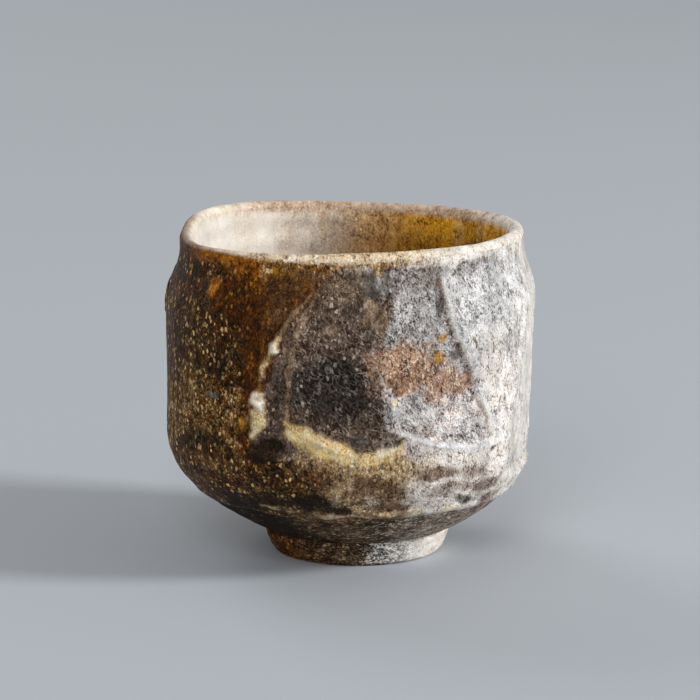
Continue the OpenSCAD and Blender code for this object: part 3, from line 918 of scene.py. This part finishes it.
def fired_material(name, grain_mm, grain_blur, flatten, uneven, relief_mm, roughest, gloss_gain):
    """Grains of the paler colours on the darker one, with crinkle and gloss, all from the mesh's values.

    Grains stand taller where flatten is under 1. Uneven is how far the tone swings.
    """
    material = bpy.data.materials.new(name)
    material.use_nodes = True
    tree = material.node_tree
    shader = tree.nodes["Principled BSDF"]
    link = tree.links.new

    def plus(first, second):
        return calc(tree, "ADD", first, second)

    def minus(first, second):
        return calc(tree, "SUBTRACT", first, second)

    def times(first, second):
        return calc(tree, "MULTIPLY", first, second)

    def from_mesh(value_name, output):
        return add_node(tree, "ShaderNodeAttribute", attribute_name=value_name).outputs[output]

    def texture(size_mm, detail, roughness, where):
        sizes = {"Scale": 1 / (size_mm * MM), "Detail": detail, "Roughness": roughness}
        node = add_node(tree, "ShaderNodeTexNoise", sizes)
        link(where.outputs[0], node.inputs["Vector"])
        return node.outputs[0]

    def mixed(first, second, share):
        node = add_node(tree, "ShaderNodeMix", data_type="RGBA")
        link(share, node.inputs["Factor"])
        link(first, node.inputs["A"])
        link(second, node.inputs["B"])
        return node.outputs["Result"]

    # Places on the piece, and the coat's values there
    place_here = add_node(tree, "ShaderNodeTexCoord").outputs["Object"]
    upright = add_node(tree, "ShaderNodeVectorMath", operation="MULTIPLY")
    upright.inputs[1].default_value = (1, 1, flatten)
    link(place_here, upright.inputs[0])
    slope = {"Rotation": (0, np.radians(THREAD_SLOPE), 0), "Scale": (1, 1, THREAD_STRETCH)}
    slanted = add_node(tree, "ShaderNodeMapping", slope, vector_type="TEXTURE")
    link(place_here, slanted.inputs["Vector"])
    dark = from_mesh("dark", "Color")
    middle = from_mesh("middle", "Color")
    light = from_mesh("light", "Color")
    split = add_node(tree, "ShaderNodeSeparateXYZ")
    link(from_mesh("coat", "Vector"), split.inputs[0])
    cover, crinkle, gloss = split.outputs

    # Grains: soft ones from noise, and dots from bent cells
    level = plus(texture(grain_mm, 3, 0.6, upright), times(texture(5 * grain_mm, 3, 0.6, upright), 0.8))
    level = plus(level, cover)
    soft = ramp(tree, level, GRAIN_LEVEL - grain_blur, GRAIN_LEVEL + 0.3 * grain_blur)
    peaks = ramp(tree, level, GRAIN_LEVEL + 0.2 * grain_blur, GRAIN_LEVEL + 1.2 * grain_blur)
    bend = add_node(tree, "ShaderNodeTexNoise", {"Scale": 1 / (grain_mm * MM), "Detail": 2})
    link(upright.outputs[0], bend.inputs["Vector"])
    bent = add_node(tree, "ShaderNodeVectorMath", operation="MULTIPLY_ADD")
    bent.inputs[1].default_value = (2 * grain_mm * MM,) * 3
    link(bend.outputs["Color"], bent.inputs[0])
    link(upright.outputs[0], bent.inputs[2])
    cells = add_node(tree, "ShaderNodeTexVoronoi", {"Scale": 1 / (DOT_CELL * grain_mm * MM)})
    link(bent.outputs[0], cells.inputs["Vector"])
    chance = add_node(tree, "ShaderNodeSeparateXYZ")
    link(cells.outputs["Color"], chance.inputs[0])
    gathered = plus(plus(chance.outputs[0], cover), times(texture(4, 2, 0.5, upright), 1.2))
    present = times(ramp(tree, gathered, 1.5, 1.9), ramp(tree, chance.outputs[2], 0, 1, 0.5, 1))
    from_middle = minus(cells.outputs["Distance"], times(chance.outputs[1], 0.3))
    dots = times(ramp(tree, from_middle, 0.05, 0.28, 1, 0), present)
    grains = calc(tree, "MAXIMUM", peaks, dots)

    # Crinkle: raised threads, each with a sunken gap beside it, in some places and not in others; the
    # threads carry a painted highlight and the gaps a painted shadow
    crinkled = times(crinkle, ramp(tree, texture(4.5, 2, 0.5, upright), 0.4, 0.56, 0.2, 1))
    unbroken = ramp(tree, texture(0.8, 2, 0.5, upright), 0.4, 0.58, 0.1, 1)
    wave = minus(texture(THREAD_MM, 2, 0.5, slanted), 0.5)
    thread_and_highlight = times(ramp(tree, calc(tree, "ABSOLUTE", wave), 0.01, 0.08, 1, 0), times(crinkled, unbroken))
    beside_thread = calc(tree, "ABSOLUTE", plus(wave, 0.12))
    gap = times(ramp(tree, beside_thread, 0, 0.08, 1, 0), crinkled)

    # Colour
    # Threads lift the colour towards the bright grain: a painted highlight on the crinkle
    colour = mixed(mixed(dark, middle, soft), light, calc(tree, "MAXIMUM", grains, times(thread_and_highlight, 0.7)))
    tone = plus(texture(9, 2, 0.5, upright), texture(2.6, 2, 0.5, upright))
    # Tone swings at random, and the gaps beside the threads are darkened: a painted shadow
    shade = minus(ramp(tree, tone, 0.7, 1.3, 1 - uneven, 1 + uneven), times(gap, 0.6))
    toned = add_node(tree, "ShaderNodeVectorMath", operation="SCALE")
    link(colour, toned.inputs[0])
    link(shade, toned.inputs["Scale"])
    link(toned.outputs["Vector"], shader.inputs["Base Color"])

    # Shine
    shine = times(times(gloss, gloss_gain), minus(1, times(grains, 0.4)))
    link(minus(roughest, shine), shader.inputs["Roughness"])
    shader.inputs["Specular IOR Level"].default_value = SPECULAR_LEVEL
    shader.inputs["Specular Tint"].default_value = SPECULAR_TINT

    # Fine relief of threads, gaps and grains
    height = minus(times(thread_and_highlight, 0.7), times(gap, 0.35))
    height = plus(height, times(plus(soft, grains), 0.18))
    height = plus(height, times(texture(0.4, 2, 0.6, upright), 0.3))
    bump = add_node(tree, "ShaderNodeBump", {"Strength": 1, "Distance": relief_mm * MM})
    link(height, bump.inputs["Height"])
    link(bump.outputs["Normal"], shader.inputs["Normal"])
    return material


def finish_piece(piece, node, material):
    """Gives a piece its material and body, and hides the part it replaces."""
    piece.data.materials.append(material)
    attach(piece, "root")
    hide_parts(node)


# The glazed outside and the lining, whose rings meet at the outer side of the lip

b_out, t_out = np.meshgrid(BEARINGS, np.linspace(0, 1, OUTSIDE_RINGS))
edge_z = glaze_edge_z(b_out)
z_out = edge_z + (LIP_Z - edge_z) * t_out
r_out = outer_r(b_out, z_out)
bare_form = place(b_out, r_out, z_out)
stroke_masks = strokes_at(b_out, z_out, bare_form)
coats_out = paint_outside(b_out, z_out, bare_form, stroke_masks)
relief = outside_relief(b_out, z_out, bare_form, stroke_masks, coats_out[..., CRINKLE_AT])
to_lip = smooth((z_out - LIP_Z) / LIP_FADE_OUT + 1)
above_edge = z_out - edge_z
roll = GLAZE_ROLL * (np.exp(-((above_edge - 0.7) / 0.7) ** 2) - smooth(1 - above_edge / 0.5))
stand_out = relief * (1 - to_lip) + lip_bump(b_out) * to_lip + roll
rings_out = place(b_out, r_out + stand_out, z_out)

b_lip, a_lip = np.meshgrid(BEARINGS, np.linspace(0, np.pi, LIP_RINGS))
lip_middle_r = uncut_r(b_lip, LIP_Z) - LIP_T / 2
lip_half = LIP_T / 2 + lip_bump(b_lip)
z_lip = LIP_Z + lip_half * np.sin(a_lip)
rings_lip = place(b_lip, lip_middle_r + lip_half * np.cos(a_lip), z_lip)


def turned_rings(b, z, points):
    """Rings left inside by the potter's fingers, in millimetres."""
    rings = np.sin(z / FINGER_RING_GAP * 2 * np.pi + 3 * b / np.pi)
    return FINGER_RING_DEPTH * rings + INSIDE_SWELL * cloud(points, cell=8, seed=111)


b_wall, z_wall = np.meshgrid(BEARINGS, np.linspace(LIP_Z, INSIDE_SPRING_Z, WALL_RINGS + 1)[1:])
r_wall = uncut_r(b_wall, z_wall) - wall_at(z_wall)
near_lip = smooth((z_wall - LIP_Z) / LIP_FADE_IN + 1)
turned_wall = turned_rings(b_wall, z_wall, place(b_wall, r_wall, z_wall))
inward = turned_wall * (1 - near_lip) + lip_bump(b_wall) * near_lip
rings_wall = place(b_wall, r_wall - inward, z_wall)

b_low, a_low = np.meshgrid(BEARINGS, np.linspace(0, np.pi / 2, BOTTOM_RINGS + 1)[1:-1])
share_low = np.cos(a_low) ** (2 / INSIDE_POWER)
z_low = INSIDE_SPRING_Z - INSIDE_CURVE_H * np.sin(a_low) ** (2 / INSIDE_POWER)
r_low = (uncut_r(b_low, INSIDE_SPRING_Z) - wall_at(INSIDE_SPRING_Z)) * share_low
turned_low = turned_rings(b_low, z_low, place(b_low, r_low, z_low))
rings_low = place(b_low, r_low - turned_low * share_low, z_low)

rings_in = np.concatenate([rings_lip, rings_wall, rings_low])
b_in = np.concatenate([b_lip, b_wall, b_low])
z_in = np.concatenate([z_lip, z_wall, z_low])
over_lip = np.concatenate([a_lip / np.pi, np.ones_like(b_wall), np.ones_like(b_low)])
coats_in = paint_inside(b_in, z_in, rings_in, over_lip)

seam_normals = ring_normals(np.concatenate([rings_out[:-1], rings_in]))
normals_out = seam_normals[:OUTSIDE_RINGS]
normals_in = seam_normals[OUTSIDE_RINGS - 1:]

hidden_out = slice(None, None, -HIDDEN_STEP_OUT)
hidden_in = slice(None, None, -HIDDEN_STEP_IN)
back_out = place(b_out, r_out - HIDDEN_INSET, z_out)[hidden_out]
back_half = LIP_T / 2 - HIDDEN_INSET
back_lip_z = LIP_Z + back_half * np.sin(a_lip)
back_low_z = z_low - HIDDEN_INSET * (1 - share_low)
back_in = np.concatenate([
    place(b_lip, lip_middle_r + back_half * np.cos(a_lip), back_lip_z),
    place(b_wall, r_wall + HIDDEN_INSET, z_wall),
    place(b_low, r_low + HIDDEN_INSET * share_low, back_low_z),
])[hidden_in]

glaze = fired_material(
    "ash_glaze", grain_mm=0.34, grain_blur=0.22, flatten=0.7, uneven=0.21,
    relief_mm=0.5, roughest=0.75, gloss_gain=0.62,
)
lining = fired_material(
    "inside_glaze", grain_mm=0.36, grain_blur=0.25, flatten=0.8, uneven=0.1,
    relief_mm=0.14, roughest=0.6, gloss_gain=0.4,
)
clay = fired_material(
    "bare_clay", grain_mm=0.4, grain_blur=0.22, flatten=1.8, uneven=0.21,
    relief_mm=0.3, roughest=0.9, gloss_gain=0.4,
)

outside = build_skin(
    "ash_glaze_skin",
    np.concatenate([rings_out, back_out]),
    np.concatenate([coats_out, coats_out[hidden_out]]),
    np.concatenate([normals_out, -normals_out[hidden_out]]),
    looped=True,
)
finish_piece(outside, "ash_glaze", glaze)

floor_centre = np.array([rings_low[-1, :, 0].mean(), 0, FLOOR_Z])
floor_back = floor_centre - np.array([0, 0, HIDDEN_INSET])
tip_normals = np.array([[0, 0, -1], [0, 0, 1]])
inside = build_skin(
    "inside_glaze_skin",
    np.concatenate([back_in, rings_in]),
    np.concatenate([coats_in[hidden_in], coats_in]),
    np.concatenate([-normals_in[hidden_in].reshape(-1, 3), normals_in.reshape(-1, 3), tip_normals]),
    first_tip=floor_back,
    last_tip=floor_centre,
)
finish_piece(inside, "inside_glaze", lining)

# The clay: the hollow under the foot, the turned underside, and the clay behind the glazes

b_hol, s_hol = np.meshgrid(BEARINGS, np.linspace(HOLLOW_START, 1, HOLLOW_RINGS))
r_hol = HOLE_R * s_hol
z_hol = SEAT_Z + HOLLOW_RISE * (1 - s_hol**2)
rings_hol = np.stack([FOOT_X + r_hol * np.sin(b_hol), -r_hol * np.cos(b_hol), z_hol], -1)
spiral = np.sin(r_hol / SPIRAL_GAP * 2 * np.pi + b_hol)
rough_hol = SPIRAL_DEPTH * (spiral + cloud(rings_hol, cell=3, seed=121))
rings_hol[..., 2] += rough_hol * (1 - s_hol**8)

bare_top_z = GLAZE_LINE_Z + CLAY_UNDER_GLAZE
b_und, z_und = np.meshgrid(BEARINGS, np.linspace(SEAT_Z, bare_top_z, UNDERSIDE_RINGS))
r_und = outer_r(b_und, z_und)
und_form = place(b_und, r_und, z_und)
wide_grooves = noise(und_form * np.array([0.06, 0.06, 1]), cell=0.7, seed=131)
fine_grooves = noise(und_form * np.array([0.1, 0.1, 1]), cell=0.35, seed=132)
rough = 0.1 * wide_grooves + 0.06 * fine_grooves + 0.14 * cloud(und_form, cell=3, seed=133)
from_seat = smooth((z_und - SEAT_Z) / 0.6)
rings_und = place(b_und, r_und - CLAY_INSET + rough * from_seat, z_und)

b_hid, z_hid = np.meshgrid(BEARINGS, np.linspace(bare_top_z + HIDDEN_GAP_UP, LIP_Z, BEHIND_RINGS))
rings_hid = place(b_hid, outer_r(b_hid, z_hid) - HIDDEN_INSET - HIDDEN_GAP, z_hid)
rings_clay = np.concatenate([rings_hol, rings_und, rings_hid, back_in[::-1]])
b_clay = np.broadcast_to(BEARINGS, rings_clay.shape[:2])
bowl = build_skin(
    "bowl_clay",
    rings_clay,
    paint_clay(b_clay, rings_clay, UNDERSIDE_ROUND),
    first_tip=np.array([FOOT_X, 0, SEAT_Z + HOLLOW_RISE]),
    last_tip=floor_back,
)
finish_piece(bowl, "bowl", clay)


def ring_piece(name, section, seed, wobble):
    """A hand-made ring round the foot's axis, from a closed section of radius and height."""
    corners = np.array(section + section[:1], float)
    length = np.concatenate([[0], np.cumsum(np.linalg.norm(np.diff(corners, axis=0), axis=1))])
    at = np.linspace(0, length[-1], int(length[-1] / RING_STEP))[:-1]
    r = np.interp(at, length, corners[:, 0])[:, None]
    z = np.interp(at, length, corners[:, 1])[:, None]
    b = BEARINGS[None, :]
    rings = np.stack(np.broadcast_arrays(FOOT_X + r * np.sin(b), -r * np.cos(b), z), -1)
    push = wobble * (cloud(rings, cell=4, seed=seed) + 0.5 * noise(rings, cell=1.3, seed=seed + 5))
    off_table = smooth((z - 0.15) / 0.8)
    moved = ring_normals(rings) * (push * off_table)[..., None]
    moved[..., 2] *= off_table * smooth((SEAT_Z - z) / 0.5)
    rings = rings + moved
    coats = paint_clay(np.broadcast_to(b, rings.shape[:2]), rings, FOOT_ROUND)
    return build_skin(name, rings, coats, looped=True)


foot_r = RING_R - RING_DRAW
foot_section = [
    (HOLE_R + 1.1, 0),
    (foot_r - 1.0, 0),
    (foot_r - 0.4, 0.2),
    (foot_r, 0.7),
    (foot_r + 0.7, 2.2),
    (RING_R - 0.2, RING_H - 0.7),
    (RING_R - 0.1, RING_H - 0.3),
    (RING_R - 0.4, RING_H),
    (HOLE_R + 0.4, RING_H),
    (HOLE_R, RING_H - 0.5),
    (HOLE_R + 0.1, 1),
    (HOLE_R + 0.5, 0.3),
]
foot = ring_piece("foot_ring_clay", foot_section, seed=141, wobble=FOOT_WOBBLE)
finish_piece(foot, "foot_ring", clay)

slip_section = [
    (HOLE_R + 0.4, RING_H - 0.1),
    (RING_R - 0.5, RING_H - 0.15),
    (RING_R - 0.15, RING_H + 0.1),
    (RING_R - 0.1, RING_H + 0.3),
    (RING_R - 0.4, SEAT_Z + 0.1),
    (HOLE_R + 0.4, SEAT_Z + 0.05),
]
slip = ring_piece("luting_slip_bead", slip_section, seed=151, wobble=SLIP_WOBBLE)
finish_piece(slip, "luting_slip", clay)

# Floor, light and camera

FLOOR_HALF_M = 6
FLOOR_COLOUR = (0.5, 0.54, 0.59, 1)
FLOOR_ROUGHNESS = 0.7
WORLD_COLOUR = (1, 0.98, 0.95, 1)
WORLD_STRENGTH = 0.3
LAMP_AIM = Vector((0, 0, 0.03))

# Each lamp: name, place and size in metres, and power in watts
LAMPS = [
    ("key", (1.95, -0.45, 0.95), 0.45, 36),
    ("fill", (-0.3, -2, 1.3), 1, 16),
    ("back", (-1.2, 1.6, 1.4), 1.2, 12),
]

# The photograph's view: elevation, distance and aim in metres, half width and focal length in pixels
VIEW_ELEVATION = np.radians(11.4)
VIEW_DISTANCE = 0.611
VIEW_AIM = np.array([-0.0002, 0, 0.03765])
HALF_WIDTH_PX = 350
FOCAL_LENGTH_PX = 3260

floor_mesh = bpy.data.meshes.new("floor")
floor_corners = [(x * FLOOR_HALF_M, y * FLOOR_HALF_M, 0) for x, y in ((-1, -1), (1, -1), (1, 1), (-1, 1))]
floor_mesh.from_pydata(floor_corners, [], [(0, 1, 2, 3)])
floor = bpy.data.objects.new("floor", floor_mesh)
bpy.context.scene.collection.objects.link(floor)
floor_material = bpy.data.materials.new("floor")
floor_material.use_nodes = True
floor_shader = floor_material.node_tree.nodes["Principled BSDF"]
floor_shader.inputs["Base Color"].default_value = FLOOR_COLOUR
floor_shader.inputs["Roughness"].default_value = FLOOR_ROUGHNESS
floor_mesh.materials.append(floor_material)

world = bpy.data.worlds.new("studio")
world.use_nodes = True
background = world.node_tree.nodes["Background"]
background.inputs["Color"].default_value = WORLD_COLOUR
background.inputs["Strength"].default_value = WORLD_STRENGTH
bpy.context.scene.world = world

for lamp_name, place_m, size_m, watts in LAMPS:
    lamp_data = bpy.data.lights.new(lamp_name, "AREA")
    lamp_data.size = size_m
    lamp_data.energy = watts
    lamp = bpy.data.objects.new(lamp_name, lamp_data)
    lamp.location = place_m
    lamp.rotation_euler = (LAMP_AIM - Vector(place_m)).to_track_quat("-Z", "Y").to_euler()
    bpy.context.scene.collection.objects.link(lamp)

camera_data = bpy.data.cameras.new("camera")
camera_data.angle = 2 * np.arctan(HALF_WIDTH_PX / FOCAL_LENGTH_PX)
camera = bpy.data.objects.new("camera", camera_data)
camera.location = VIEW_AIM + VIEW_DISTANCE * np.array([0, -np.cos(VIEW_ELEVATION), np.sin(VIEW_ELEVATION)])
camera.rotation_euler = (np.pi / 2 - VIEW_ELEVATION, 0, 0)
bpy.context.scene.collection.objects.link(camera)
bpy.context.scene.camera = camera

bpy.context.scene.view_settings.view_transform = "Standard"
